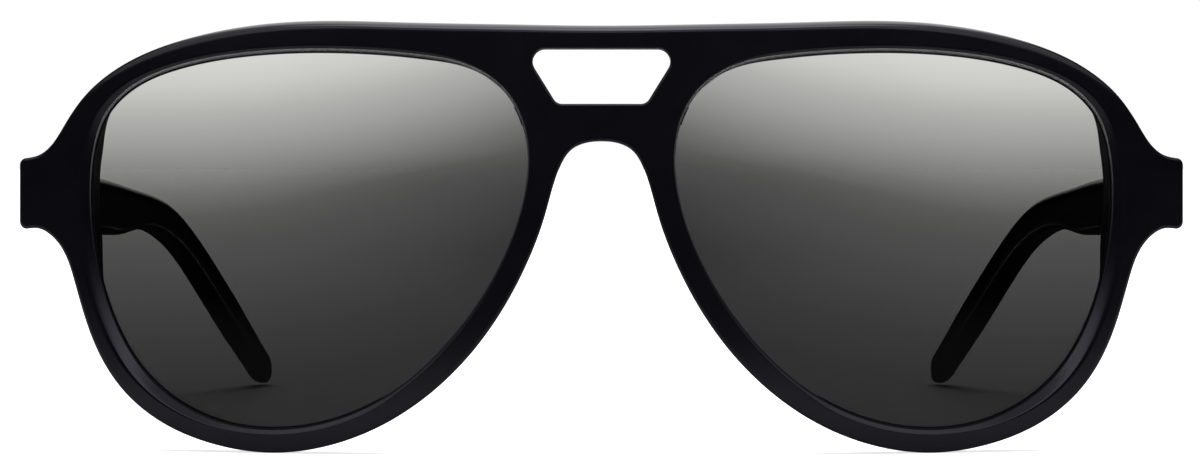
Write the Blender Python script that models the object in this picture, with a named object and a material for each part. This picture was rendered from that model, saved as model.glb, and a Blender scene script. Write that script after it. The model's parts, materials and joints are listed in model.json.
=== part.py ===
"""Aviator sunglasses: a milled acetate front, two tinted lenses and two folding temples.

The glasses stand open on a table. The front looks towards -Y, the temples run back towards +Y
and +Z is up, so the wearer's left is at +X. The origin is at the centre of the bottom of the
whole object. All sizes below are in millimetres. Depths are measured back from the foremost
point of the bridge, and heights up from the table.
"""

from math import atan2, cos, hypot, pi, radians, sin, sqrt, tan

import bmesh
import bpy
import numpy as np
from mathutils.geometry import delaunay_2d_cdt

MM = 0.001

# The whole object
MIDDLE_DEPTH = 75.85

# The front: a plate bent round the face, with a lug behind each end for the hinge
WRAP_RADIUS = 200.0
UPRIGHT_RADIUS = 300.0
LENS_MIDDLE = (35.5, 26.0)
PLATE_THICKNESS = 4.4
EDGE_ROUNDING = 0.6
LUG_SIDE = 72.65
LUG_TOP = 36.25
LUG_BOTTOM = 27.4
LUG_CORNER = 0.9
LUG_BACK = 19.5
LUG_RAMP_X = (58.5, 61.5)
LUG_RAMP_Z = (4.6, 13.0)

# Half of the front's outline, from the middle of the brow to the lug, and from the lug round
# the rim and up the side of the nose to the middle of the arch
BROW = [
    (0.0, 52.4), (13.0, 52.6), (24.0, 52.85), (33.5, 53.1), (43.0, 52.6), (51.0, 51.1),
    (58.5, 48.35), (63.6, 44.6), (66.8, 40.35), (68.7, 37.65), (70.2, 36.6), (71.75, 36.25),
]
RIM_AND_NOSE = [
    (71.75, 27.4), (70.2, 27.45), (68.6, 26.65), (67.1, 24.95), (65.6, 21.2), (63.1, 13.5),
    (59.5, 7.65), (53.5, 3.05), (47.0, 0.75), (41.0, -0.2), (35.0, 0.6), (28.0, 2.95),
    (20.5, 7.8), (13.5, 15.5), (9.3, 22.9), (6.9, 29.2), (5.65, 33.6), (4.95, 35.4),
    (3.75, 37.15), (2.1, 38.0), (0.0, 38.25),
]
WINDOW_CORNERS = [(9.6, 49.5), (5.45, 42.8), (-5.45, 42.8), (-9.6, 49.5)]
WINDOW_ROUNDING = [1.5, 1.2, 1.2, 1.5]

# The lens opening at its narrow lip, and the bevel, lip and groove round it
LENS_OPENING = [
    (63.45, 32.0), (62.9, 37.7), (61.6, 41.35), (57.75, 45.15), (52.2, 47.4), (43.05, 48.95),
    (32.1, 49.25), (21.65, 48.45), (17.15, 47.55), (12.15, 44.6), (9.05, 37.5), (9.35, 31.9),
    (11.95, 24.05), (17.85, 14.8), (24.75, 8.2), (31.35, 4.65), (40.3, 2.95), (47.7, 4.0),
    (56.25, 9.45), (59.85, 14.9), (62.2, 21.55),
]
BEVEL_WIDE = 0.72
BEVEL_EXTRA = 1.15
BEVEL_NARROW = 0.42
BEVEL_NOSE_ANGLE = 186.0
BEVEL_NOSE_RANGE = (48.0, 66.0)
BEVEL_CORNER_ANGLE = -12.0
BEVEL_CORNER_RANGE = (16.0, 62.0)
BEVEL_SLOPE = 0.6
LIP_WALL_WIDTH = 0.33
BACK_CHAMFER = 0.3
LUG_DRAFT = 0.35
GROOVE_DEPTH = 0.95
GROOVE_PLAY = 0.3

# Lenses
LENS_RADIUS = 132.0
LENS_SETBACK = 0.6
LENS_THICKNESS = 1.8
LENS_IN_GROOVE = 0.55

# Nose pads, bonded behind the rims
PAD_HEIGHTS = (16.5, 32.0)
PAD_REACH = 5.6
PAD_BASE = 2.5
PAD_SPLAY = 0.8
PAD_INSET = 0.2
PAD_GAP = 0.3
PAD_ROUNDNESS = 4
PAD_RINGS = 15
NOSE_FLANK = (30.0, 37.0)

# Half of a pad's section: share of the reach, and how far that side has rounded in
PAD_SECTION = [(0.0, 0.0), (0.45, 0.0), (0.85, 0.1), (1.0, 0.5)]
PAD_SPLAY_POWER = 1.5

# Hinges: five knuckles on one screw, three on the front's leaf and two on the temple's
AXIS_X = 66.7
AXIS_DEPTH = 21.3
KNUCKLE_RADIUS = 1.6
KNUCKLE_HEIGHT = 1.2
KNUCKLE_PITCH = 1.35
KNUCKLE_BOTTOM = 28.5
SCREW_RADIUS = 0.7
SCREW_HOLE_RADIUS = 0.8
SCREW_HEAD_RADIUS = 1.3
SCREW_HEAD_HEIGHT = 0.65
SCREW_HEAD_PLAY = 0.1
SCREW_CHAMFER = 0.2
SCREW_SLOT_WIDTH = 0.35
SCREW_SLOT_DEPTH = 0.3
LEAF_THICKNESS = 0.9
LEAF_SUNK = 0.05
LEAF_RECESS = 1.2
FRONT_LEAF_X = (64.4, 68.2)
FRONT_ANCHOR_X = (65.3, 67.3)
FRONT_ANCHOR_DEPTH = 15.2
ANCHOR_INSET = 1.0
TEMPLE_LEAF_DEPTHS = (20.7, 29.8)
TEMPLE_LEAF_HEIGHTS = (29.4, 34.0)
TEMPLE_WEB_DEPTHS = (20.9, 22.7)
WEB_HALF_WIDTH = 1.0

# Temples, station by station: depth, middle x, middle height, blade height, thickness
TEMPLE_STATIONS = [
    (19.75, 70.6, 31.85, 8.9, 4.0),
    (31.0, 70.5, 30.75, 7.8, 4.0),
    (44.0, 69.3, 30.1, 7.4, 4.0),
    (55.0, 68.2, 29.75, 7.15, 3.95),
    (62.0, 67.45, 29.25, 7.05, 3.85),
    (69.0, 66.65, 29.1, 6.1, 3.8),
    (80.0, 65.25, 28.7, 4.9, 3.6),
    (91.0, 63.9, 27.25, 4.8, 3.5),
    (101.0, 62.6, 24.65, 4.7, 3.4),
    (115.0, 60.5, 19.0, 4.9, 3.45),
    (132.0, 57.65, 10.85, 4.95, 3.6),
    (149.2, 54.7, 2.55, 4.95, 3.65),
]
TEMPLE_BUTT = 19.75
TEMPLE_INNER = 68.6
TEMPLE_CORNER = 0.3
TIP_ROUNDING = 2.2
TIP_FLAT = 0.25
TIP_ANGLES = (25, 50, 75)
WIRE_RADIUS = 0.5
WIRE_CHANNEL_RADIUS = 0.78
WIRE_DEPTHS = (21.5, 143.0)
WIRE_END_PLAY = 0.5
WIRE_SHIFT = 0.35
WIRE_SHIFT_DEPTHS = (40.0, 75.0)

# How finely the surfaces are divided
SPAN_STEPS = 3
LENS_STEPS = 4
CORNER_STEPS = 4
GRID_SPACING = 5.0
GRID_MARGIN = 1.6
ROUND_SIDES = 24
TEMPLE_RING = 16
TEMPLE_STEPS = 3
WIRE_SIDES = 8
MERGE_DISTANCE = 0.01
SHARP_ANGLE = radians(35)
CUT_MARGIN = 1.0

ACETATE = (0.0045, 0.0042, 0.0060, 1.0)
ACETATE_ROUGHNESS = 0.32
LENS_GREY = (0.10, 0.10, 0.10, 1.0)
LENS_ROUGHNESS = 0.05
LENS_TRANSMISSION = 0.8
STEEL = (0.55, 0.55, 0.57, 1.0)
STEEL_ROUGHNESS = 0.3


# Curves


def spline(knots, steps, closed=False, mirror_start=False, mirror_end=False):
    """Points on the cubic spline through knots, with the same number of steps in every span.

    A mirrored end continues in the mirror image about x = 0, so it crosses that line squarely.
    """
    knots = [np.array(knot, float) for knot in knots]
    before, after = [], []
    if closed:
        before = knots[-4:]
        after = knots[:5]
    if mirror_start:
        before = [np.array((-knot[0], *knot[1:])) for knot in knots[3:0:-1]]
    if mirror_end:
        after = [np.array((-knot[0], *knot[1:])) for knot in knots[-2:-5:-1]]
    points = np.array(before + knots + after)
    chord = np.linalg.norm(np.diff(points, axis=0), axis=1)
    bend = spline_bend(points, chord)
    curve = []
    first = len(before)
    last = first + len(knots) - (0 if closed else 1)
    for span in range(first, last):
        for step in range(steps):
            curve.append(spline_point(points, chord, bend, span, step / steps))
    if not closed:
        curve.append(points[last])
    return np.array(curve)


def spline_bend(points, chord):
    """Second derivatives at the knots of the natural cubic spline."""
    count = len(points)
    matrix = np.eye(count)
    slopes = np.diff(points, axis=0) / chord[:, None]
    target = np.zeros_like(points)
    for i in range(1, count - 1):
        matrix[i, i - 1] = chord[i - 1]
        matrix[i, i] = 2 * (chord[i - 1] + chord[i])
        matrix[i, i + 1] = chord[i]
        target[i] = 6 * (slopes[i] - slopes[i - 1])
    return np.linalg.solve(matrix, target)


def spline_point(points, chord, bend, span, share):
    """The point that lies a share of the way along one span."""
    width = chord[span]
    near = 1 - share
    straight = near * points[span] + share * points[span + 1]
    curl = (near**3 - near) * bend[span] + (share**3 - share) * bend[span + 1]
    return straight + curl * width**2 / 6


def arc(centre, radius, start, end, steps):
    """Points on a circular arc, angles in degrees."""
    angles = np.radians(np.linspace(start, end, steps + 1))
    return np.column_stack([centre[0] + radius * np.cos(angles), centre[1] + radius * np.sin(angles)])


def rounded_polygon(corners, radii, steps):
    """A closed polygon with each corner turned on its own radius."""
    points = []
    for i, corner in enumerate(corners):
        corner = np.array(corner)
        back = np.array(corners[i - 1]) - corner
        ahead = np.array(corners[(i + 1) % len(corners)]) - corner
        back /= hypot(*back)
        ahead /= hypot(*ahead)
        half_angle = np.arccos(back @ ahead) / 2
        bisector = (back + ahead) / hypot(*(back + ahead))
        centre = corner + bisector * radii[i] / sin(half_angle)
        start = corner + back * radii[i] / tan(half_angle) - centre
        end = corner + ahead * radii[i] / tan(half_angle) - centre
        start_angle = atan2(start[1], start[0])
        turn = (atan2(end[1], end[0]) - start_angle + pi) % (2 * pi) - pi
        for step in range(steps + 1):
            angle = start_angle + turn * step / steps
            points.append(centre + radii[i] * np.array((cos(angle), sin(angle))))
    return np.array(points)


def offset_loop(loop, distances):
    """Move a closed loop outwards by a distance, or by one distance for each point."""
    ahead = np.roll(loop, -1, axis=0) - loop
    ahead /= np.linalg.norm(ahead, axis=1)[:, None]
    along = ahead + np.roll(ahead, 1, axis=0)
    along /= np.linalg.norm(along, axis=1)[:, None]
    x, z = loop.T
    turns_left = np.sum(x * np.roll(z, -1) - np.roll(x, -1) * z) > 0
    outwards = np.column_stack([along[:, 1], -along[:, 0]]) * (1 if turns_left else -1)
    return loop + outwards * np.reshape(distances, (-1, 1))


def smoothstep(value, start, end):
    share = np.clip((value - start) / (end - start), 0.0, 1.0)
    return share * share * (3 - 2 * share)


# Surfaces, as depth at a given x and height


def face_depth(x, z):
    """The front's outer face, bent round the wearer's face and a little from top to bottom."""
    return x**2 / (2 * WRAP_RADIUS) + (z - LENS_MIDDLE[1]) ** 2 / (2 * UPRIGHT_RADIUS)


def back_depth(x, z):
    """The front's back, which steps out to the flat back of the lug at each end."""
    plain = face_depth(x, z) + PLATE_THICKNESS
    return plain + np.maximum(LUG_BACK - plain, 0) * lug_share(x, z)


def lug_share(x, z):
    """1 where the lug has its full depth and 0 where the plate is plain."""
    lug_middle = (LUG_TOP + LUG_BOTTOM) / 2
    beside = smoothstep(np.abs(x), *LUG_RAMP_X)
    return beside * (1 - smoothstep(np.abs(z - lug_middle), *LUG_RAMP_Z))


def lens_depth(x, z):
    """A lens's front surface: a sphere square to the bent plate at the lens's middle."""
    middle_x, middle_z = LENS_MIDDLE
    slope = middle_x / WRAP_RADIUS
    length = hypot(slope, 1)
    centre_x = middle_x - LENS_RADIUS * slope / length
    centre_depth = face_depth(middle_x, middle_z) + LENS_SETBACK + LENS_RADIUS / length
    reach = LENS_RADIUS**2 - (np.abs(x) - centre_x) ** 2 - (z - middle_z) ** 2
    return centre_depth - np.sqrt(reach)


def bevel_width(loop):
    """The bevel is widest at the outer lower corner and almost gone beside the nose."""
    angle = np.degrees(np.arctan2(loop[:, 1] - LENS_MIDDLE[1], np.abs(loop[:, 0]) - LENS_MIDDLE[0]))
    from_nose = np.abs((angle - BEVEL_NOSE_ANGLE + 180) % 360 - 180)
    from_corner = np.abs((angle - BEVEL_CORNER_ANGLE + 180) % 360 - 180)
    wide = BEVEL_WIDE + BEVEL_EXTRA * (1 - smoothstep(from_corner, *BEVEL_CORNER_RANGE))
    return BEVEL_NARROW + (wide - BEVEL_NARROW) * smoothstep(from_nose, *BEVEL_NOSE_RANGE)


def back_loop(loop):
    """The opening's edge at the back: chamfered on the plate, drawn in through the lug."""
    lug = lug_share(loop[:, 0], loop[:, 1])
    return offset_loop(loop, BACK_CHAMFER - (BACK_CHAMFER + LUG_DRAFT) * lug)


# Meshes


class Shell:
    """A closed surface put together from rings of points. Coordinates are (x, depth, height)."""

    def __init__(self):
        self.points = []
        self.faces = []

    def ring(self, points):
        start = len(self.points)
        self.points.extend(tuple(float(value) for value in point) for point in points)
        return list(range(start, len(self.points)))

    def ring_on(self, loop, surface, shift=0.0):
        """A ring above a flat (x, z) loop, on a depth surface."""
        depths = surface(loop[:, 0], loop[:, 1]) + shift
        return self.ring(np.column_stack([loop[:, 0], depths, loop[:, 1]]))

    def bridge(self, first, second):
        for i in range(len(first)):
            j = (i + 1) % len(first)
            self.faces.append((first[i], first[j], second[j], second[i]))

    def sleeve(self, rings):
        for first, second in zip(rings, rings[1:]):
            self.bridge(first, second)

    def cap(self, ring):
        self.faces.append(tuple(ring))

    def fill(self, rings, surface, shift=0.0):
        """Fill the area between rings with triangles that follow a depth surface."""
        loops = [np.array([self.points[i] for i in ring])[:, [0, 2]] for ring in rings]
        border = [index for ring in rings for index in ring]
        edges = []
        start = 0
        for ring in rings:
            count = len(ring)
            edges += [(start + i, start + (i + 1) % count) for i in range(count)]
            start += count
        grid = np.array(list(grid_points(loops)))
        flat = np.concatenate([*loops, grid])
        inner = self.ring_on(grid, surface, shift)
        index = border + inner
        spots, _, triangles, origins, _, _ = delaunay_2d_cdt(
            [tuple(spot) for spot in flat], edges, [], 0, 1e-7)
        for triangle in triangles:
            middle = np.mean([spots[i] for i in triangle], axis=0)
            if inside(loops, middle):
                self.faces.append(tuple(index[origins[i][0]] for i in triangle))

    def build(self, name, material, side=1):
        """Make the object. Side -1 builds the mirror image, for the wearer's right."""
        mesh = bpy.data.meshes.new(name)
        corners = [(side * x * MM, (depth - MIDDLE_DEPTH) * MM, z * MM)
                   for x, depth, z in self.points]
        mesh.from_pydata(corners, [], self.faces)
        work = bmesh.new()
        work.from_mesh(mesh)
        bmesh.ops.remove_doubles(work, verts=work.verts, dist=MERGE_DISTANCE * MM)
        bmesh.ops.recalc_face_normals(work, faces=work.faces)
        work.to_mesh(mesh)
        work.free()
        mesh.shade_smooth()
        mesh.set_sharp_from_angle(angle=SHARP_ANGLE)
        mesh.materials.append(material)
        piece = bpy.data.objects.new(name, mesh)
        bpy.context.collection.objects.link(piece)
        return piece


def grid_points(loops):
    """Points of a square grid that lie between the loops, well away from them."""
    everything = np.concatenate(loops)
    low, high = everything.min(axis=0), everything.max(axis=0)
    columns = np.arange(np.ceil(low[0] / GRID_SPACING) * GRID_SPACING, high[0], GRID_SPACING)
    rows = np.arange(low[1] + GRID_SPACING / 2, high[1], GRID_SPACING)
    for x in columns:
        for z in rows:
            spot = np.array((x, z))
            clear = np.min(np.linalg.norm(everything - spot, axis=1)) > GRID_MARGIN
            if clear and inside(loops, spot):
                yield spot


def inside(loops, spot):
    """Whether a spot lies inside the first loop and outside the holes."""
    crossings = 0
    for loop in loops:
        x, z = loop.T
        next_x, next_z = np.roll(x, -1), np.roll(z, -1)
        spans = (z > spot[1]) != (next_z > spot[1])
        rise = np.where(next_z == z, 1.0, next_z - z)
        cut = x + (spot[1] - z) / rise * (next_x - x)
        crossings += np.sum(spans & (spot[0] < cut))
    return crossings % 2 == 1


def material(name, colour, roughness, metallic=0.0, transmission=0.0):
    finish = bpy.data.materials.new(name)
    finish.use_nodes = True
    shader = finish.node_tree.nodes["Principled BSDF"]
    shader.inputs["Base Color"].default_value = colour
    shader.inputs["Roughness"].default_value = roughness
    shader.inputs["Metallic"].default_value = metallic
    shader.inputs["Transmission Weight"].default_value = transmission
    finish.diffuse_color = colour
    return finish


def box_shell(x_range, depth_range, z_range):
    """A plain block."""
    shell = Shell()
    rings = []
    for z in z_range:
        rings.append(shell.ring([
            (x_range[0], depth_range[0], z), (x_range[1], depth_range[0], z),
            (x_range[1], depth_range[1], z), (x_range[0], depth_range[1], z)]))
    shell.sleeve(rings)
    shell.cap(rings[0])
    shell.cap(rings[-1])
    return shell


def round_bar(radius, z_range, sides=ROUND_SIDES):
    """An upright cylinder on the hinge's axis."""
    shell = Shell()
    rings = []
    for z in z_range:
        circle = arc((AXIS_X, AXIS_DEPTH), radius, 0, 360, sides)[:-1]
        rings.append(shell.ring([(x, depth, z) for x, depth in circle]))
    shell.sleeve(rings)
    shell.cap(rings[0])
    shell.cap(rings[-1])
    return shell


def combine(piece, tool, operation):
    """Join a tool to a piece, or cut it away, and delete the tool."""
    step = piece.modifiers.new(operation, "BOOLEAN")
    step.operation = operation
    step.solver = "EXACT"
    step.object = tool
    graph = bpy.context.evaluated_depsgraph_get()
    result = bpy.data.meshes.new_from_object(piece.evaluated_get(graph))
    result.set_sharp_from_angle(angle=SHARP_ANGLE)
    piece.modifiers.clear()
    piece.data = result
    bpy.data.objects.remove(tool)


# Pieces


def front_outline():
    """The whole outline of the front, anticlockwise from the middle of the brow."""
    brow = spline(BROW, SPAN_STEPS, mirror_start=True)
    corner_x = LUG_SIDE - LUG_CORNER
    top = arc((corner_x, LUG_TOP - LUG_CORNER), LUG_CORNER, 90, 0, CORNER_STEPS)
    bottom = arc((corner_x, LUG_BOTTOM + LUG_CORNER), LUG_CORNER, 0, -90, CORNER_STEPS)
    rim = spline(RIM_AND_NOSE, SPAN_STEPS, mirror_end=True)
    half = np.concatenate([brow, top[1:], bottom, rim[1:]])
    half[:, 1] = np.maximum(half[:, 1], 0.0)
    other = half[-2:0:-1] * (-1, 1)
    return np.concatenate([half, other])[::-1]


def lens_loop(side=1):
    return spline(LENS_OPENING, LENS_STEPS, closed=True) * (side, 1)


def front_frame(acetate):
    shell = Shell()
    outline = front_outline()
    inset = offset_loop(outline, -EDGE_ROUNDING)
    front_rings = [shell.ring_on(inset, face_depth)]
    sides = [
        front_rings[0],
        shell.ring_on(outline, face_depth, EDGE_ROUNDING),
        shell.ring_on(outline, back_depth, -EDGE_ROUNDING),
        shell.ring_on(inset, back_depth),
    ]
    shell.sleeve(sides)
    back_rings = [sides[-1]]
    for side in (1, -1):
        loop = lens_loop(side)
        bevel = bevel_width(loop)
        drop = np.maximum(bevel - LIP_WALL_WIDTH, 0) * BEVEL_SLOPE
        rings = [
            shell.ring_on(offset_loop(loop, bevel), face_depth),
            shell.ring_on(offset_loop(loop, LIP_WALL_WIDTH), face_depth, drop),
            shell.ring_on(loop, lens_depth, -GROOVE_PLAY),
            shell.ring_on(offset_loop(loop, GROOVE_DEPTH), lens_depth, -GROOVE_PLAY),
            shell.ring_on(offset_loop(loop, GROOVE_DEPTH), lens_depth, LENS_THICKNESS + GROOVE_PLAY),
            shell.ring_on(loop, lens_depth, LENS_THICKNESS + GROOVE_PLAY),
            shell.ring_on(back_loop(loop), back_depth),
        ]
        shell.sleeve(rings)
        front_rings.append(rings[0])
        back_rings.append(rings[-1])
    window = rounded_polygon(WINDOW_CORNERS, WINDOW_ROUNDING, CORNER_STEPS)
    rings = [
        shell.ring_on(offset_loop(window, EDGE_ROUNDING), face_depth),
        shell.ring_on(window, face_depth, EDGE_ROUNDING),
        shell.ring_on(window, back_depth, -EDGE_ROUNDING),
        shell.ring_on(offset_loop(window, EDGE_ROUNDING), back_depth),
    ]
    shell.sleeve(rings)
    front_rings.append(rings[0])
    back_rings.append(rings[-1])
    shell.fill(front_rings, face_depth)
    shell.fill(back_rings, back_depth)
    piece = shell.build("front_frame", acetate)
    for side in (1, -1):
        for pocket in leaf_pockets():
            combine(piece, pocket.build("pocket", acetate, side), "DIFFERENCE")
    return piece


def leaf_pockets():
    """The room that the front's hinge leaf and its anchor take in the back of the lug."""
    play = LEAF_RECESS - LEAF_THICKNESS
    low, high = knuckle_span()
    leaf = box_shell(
        (FRONT_LEAF_X[0] - play, FRONT_LEAF_X[1] + play),
        (LUG_BACK - LEAF_RECESS, LUG_BACK + CUT_MARGIN), (low - play, high + play))
    anchor = box_shell(
        (FRONT_ANCHOR_X[0] - play, FRONT_ANCHOR_X[1] + play),
        (FRONT_ANCHOR_DEPTH - play, LUG_BACK), (low + ANCHOR_INSET - play, high - ANCHOR_INSET + play))
    return [leaf, anchor]


def lens(name, tint, side):
    shell = Shell()
    loop = offset_loop(lens_loop(), LENS_IN_GROOVE)
    front = shell.ring_on(loop, lens_depth)
    back = shell.ring_on(loop, lens_depth, LENS_THICKNESS)
    shell.bridge(front, back)
    shell.fill([front], lens_depth)
    shell.fill([back], lens_depth, LENS_THICKNESS)
    return shell.build(name, tint, side)


def nose_side(z):
    """The x of the front's outline beside the nose at a height."""
    flank = spline(RIM_AND_NOSE, SPAN_STEPS, mirror_end=True)
    widest, highest = NOSE_FLANK
    flank = flank[(flank[:, 0] < widest) & (flank[:, 1] < highest)]
    return np.interp(z, flank[:, 1], flank[:, 0])


def nose_pad(name, acetate, side):
    """A wedge behind the rim whose free edge leans away from the nose."""
    shell = Shell()
    low, high = PAD_HEIGHTS
    rings = []
    for step in range(1, PAD_RINGS + 1):
        lean = -cos(pi * step / (PAD_RINGS + 1))
        z = (low + high) / 2 + (high - low) / 2 * lean
        swell = sqrt(1 - abs(lean) ** PAD_ROUNDNESS)
        inner = float(nose_side(z)) + PAD_INSET
        outer = inner + PAD_BASE
        base = float(back_depth(inner, z)) + PAD_GAP
        near_nose, near_rim = [], []
        for share, rounded in PAD_SECTION:
            depth = base + PAD_REACH * swell * share
            splay = PAD_SPLAY * swell * share**PAD_SPLAY_POWER
            near_nose.append((inner + splay + rounded, depth, z))
            near_rim.append((outer - rounded, depth, z))
        rings.append(shell.ring(near_nose + near_rim[::-1]))
    shell.sleeve(rings)
    shell.cap(rings[0])
    shell.cap(rings[-1])
    return shell.build(name, acetate, side)


def knuckle_span(which=range(5)):
    """Lowest and highest z of some of the five knuckles, which are counted from the bottom."""
    low = KNUCKLE_BOTTOM + KNUCKLE_PITCH * min(which)
    high = KNUCKLE_BOTTOM + KNUCKLE_PITCH * max(which) + KNUCKLE_HEIGHT
    return low, high


def front_hinge_leaf(name, steel, side):
    """A leaf sunk flush in the back of the lug, with an anchor in front and knuckles behind."""
    low, high = knuckle_span()
    face = LUG_BACK - LEAF_SUNK
    heart = face - LEAF_THICKNESS / 2
    leaf = box_shell(FRONT_LEAF_X, (face - LEAF_THICKNESS, face), (low, high))
    piece = leaf.build(name, steel, side)
    anchor = box_shell(
        FRONT_ANCHOR_X, (FRONT_ANCHOR_DEPTH, heart), (low + ANCHOR_INSET, high - ANCHOR_INSET))
    combine(piece, anchor.build("anchor", steel, side), "UNION")
    for knuckle in (0, 2, 4):
        span = knuckle_span([knuckle])
        web = box_shell((AXIS_X - WEB_HALF_WIDTH, AXIS_X + WEB_HALF_WIDTH), (heart, AXIS_DEPTH), span)
        combine(piece, web.build("web", steel, side), "UNION")
        combine(piece, round_bar(KNUCKLE_RADIUS, span).build("knuckle", steel, side), "UNION")
    bore = round_bar(SCREW_HOLE_RADIUS, (low - CUT_MARGIN, high + CUT_MARGIN))
    combine(piece, bore.build("bore", steel, side), "DIFFERENCE")
    return piece


def temple_hinge_leaf(name, steel, side):
    """A leaf sunk in the inner side of the temple, with its knuckles towards the wearer."""
    low, high = TEMPLE_LEAF_HEIGHTS
    face = TEMPLE_INNER + LEAF_SUNK
    heart = face + LEAF_THICKNESS / 2
    leaf = box_shell((face, face + LEAF_THICKNESS), TEMPLE_LEAF_DEPTHS, (low, high))
    piece = leaf.build(name, steel, side)
    for knuckle in (1, 3):
        span = knuckle_span([knuckle])
        web = box_shell((AXIS_X, heart), TEMPLE_WEB_DEPTHS, span)
        combine(piece, web.build("web", steel, side), "UNION")
        combine(piece, round_bar(KNUCKLE_RADIUS, span).build("knuckle", steel, side), "UNION")
    bore = round_bar(SCREW_HOLE_RADIUS, (low - CUT_MARGIN, high + CUT_MARGIN))
    combine(piece, bore.build("bore", steel, side), "DIFFERENCE")
    return piece


def hinge_screw(name, steel, side):
    """A screw with a low slotted head, passing down through all five knuckles."""
    low, high = knuckle_span()
    under_head = high + SCREW_HEAD_PLAY
    top = under_head + SCREW_HEAD_HEIGHT
    shell = Shell()
    profile = [
        (SCREW_RADIUS - SCREW_CHAMFER, low - SCREW_CHAMFER), (SCREW_RADIUS, low),
        (SCREW_RADIUS, under_head), (SCREW_HEAD_RADIUS, under_head),
        (SCREW_HEAD_RADIUS, top - SCREW_CHAMFER), (SCREW_HEAD_RADIUS - SCREW_CHAMFER, top),
    ]
    rings = []
    for radius, z in profile:
        circle = arc((AXIS_X, AXIS_DEPTH), radius, 0, 360, ROUND_SIDES)[:-1]
        rings.append(shell.ring([(x, depth, z) for x, depth in circle]))
    shell.sleeve(rings)
    shell.cap(rings[0])
    shell.cap(rings[-1])
    piece = shell.build(name, steel, side)
    reach = SCREW_HEAD_RADIUS + CUT_MARGIN
    slot = box_shell(
        (AXIS_X - reach, AXIS_X + reach),
        (AXIS_DEPTH - SCREW_SLOT_WIDTH / 2, AXIS_DEPTH + SCREW_SLOT_WIDTH / 2),
        (top - SCREW_SLOT_DEPTH, top + CUT_MARGIN))
    combine(piece, slot.build("slot", steel, side), "DIFFERENCE")
    return piece


def temple_sections():
    """Middle, lean, height and thickness of the temple at close steps from hinge to tip."""
    stations = spline(TEMPLE_STATIONS, TEMPLE_STEPS)
    middles = stations[:, [1, 0, 2]]
    heading = np.gradient(middles, axis=0)
    heading[:TEMPLE_STEPS + 1] = (0, 1, 0)
    heading /= np.linalg.norm(heading, axis=1)[:, None]
    return middles, heading, stations[:, 3], stations[:, 4]


def section_ring(middle, heading, height, thickness):
    """A rounded oblong square to the temple's heading in side view."""
    corner = min(height, thickness) * TEMPLE_CORNER
    oblong = rounded_polygon(
        [(thickness / 2, height / 2), (-thickness / 2, height / 2),
         (-thickness / 2, -height / 2), (thickness / 2, -height / 2)],
        [corner] * 4, TEMPLE_RING // 4 - 1)
    slope = atan2(heading[2], heading[1])
    return [(middle[0] + across, middle[1] - up * sin(slope), max(middle[2] + up * cos(slope), 0.0))
            for across, up in oblong]


def temple(name, acetate, side):
    shell = Shell()
    middles, heading, heights, thicknesses = temple_sections()
    rings = []
    for middle, ahead, height, thickness in zip(middles, heading, heights, thicknesses):
        rings.append(shell.ring(section_ring(middle, ahead, height, thickness)))
    for angle in TIP_ANGLES:
        middle = middles[-1] + heading[-1] * TIP_ROUNDING * sin(radians(angle))
        shrink = TIP_FLAT + (1 - TIP_FLAT) * cos(radians(angle))
        rings.append(shell.ring(section_ring(
            middle, heading[-1], heights[-1] * shrink, thicknesses[-1] * shrink)))
    shell.sleeve(rings)
    shell.cap(rings[0])
    shell.cap(rings[-1])
    piece = shell.build(name, acetate, side)
    channel = wire_tube(
        WIRE_CHANNEL_RADIUS, TEMPLE_BUTT - CUT_MARGIN, WIRE_DEPTHS[1] + WIRE_END_PLAY)
    combine(piece, channel.build("channel", acetate, side), "DIFFERENCE")
    play = LEAF_RECESS - LEAF_THICKNESS
    pocket = box_shell(
        (TEMPLE_INNER - CUT_MARGIN, TEMPLE_INNER + LEAF_RECESS),
        (TEMPLE_LEAF_DEPTHS[0] - play, TEMPLE_LEAF_DEPTHS[1] + play),
        (TEMPLE_LEAF_HEIGHTS[0] - play, TEMPLE_LEAF_HEIGHTS[1] + play))
    combine(piece, pocket.build("pocket", acetate, side), "DIFFERENCE")
    return piece


def wire_tube(radius, start, end):
    """A round tube along the temple's middle, shifted outwards to clear the hinge leaf."""
    middles, heading, _, _ = temple_sections()
    first, last = (at_depth(middles, depth) for depth in (start, end))
    keep = (middles[:, 1] > start) & (middles[:, 1] < end)
    path = np.concatenate([[first], middles[keep], [last]])
    headings = heading[np.searchsorted(middles[:, 1], path[:, 1]).clip(0, len(middles) - 1)]
    shift = WIRE_SHIFT * (1 - smoothstep(path[:, 1], *WIRE_SHIFT_DEPTHS))
    shell = Shell()
    rings = []
    for centre, ahead, move in zip(path, headings, shift):
        slope = atan2(ahead[2], ahead[1])
        circle = arc((0, 0), radius, 0, 360, WIRE_SIDES)[:-1]
        rings.append(shell.ring([
            (centre[0] + move + across, centre[1] - up * sin(slope), centre[2] + up * cos(slope))
            for across, up in circle]))
    shell.sleeve(rings)
    shell.cap(rings[0])
    shell.cap(rings[-1])
    return shell


def at_depth(middles, depth):
    """The middle of the temple at a depth, which may lie a little before the butt."""
    track = [np.interp(depth, middles[:, 1], middles[:, axis]) for axis in (0, 2)]
    return np.array((track[0], depth, track[1]))


def core_wire(name, steel, side):
    return wire_tube(WIRE_RADIUS, *WIRE_DEPTHS).build(name, steel, side)


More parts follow.
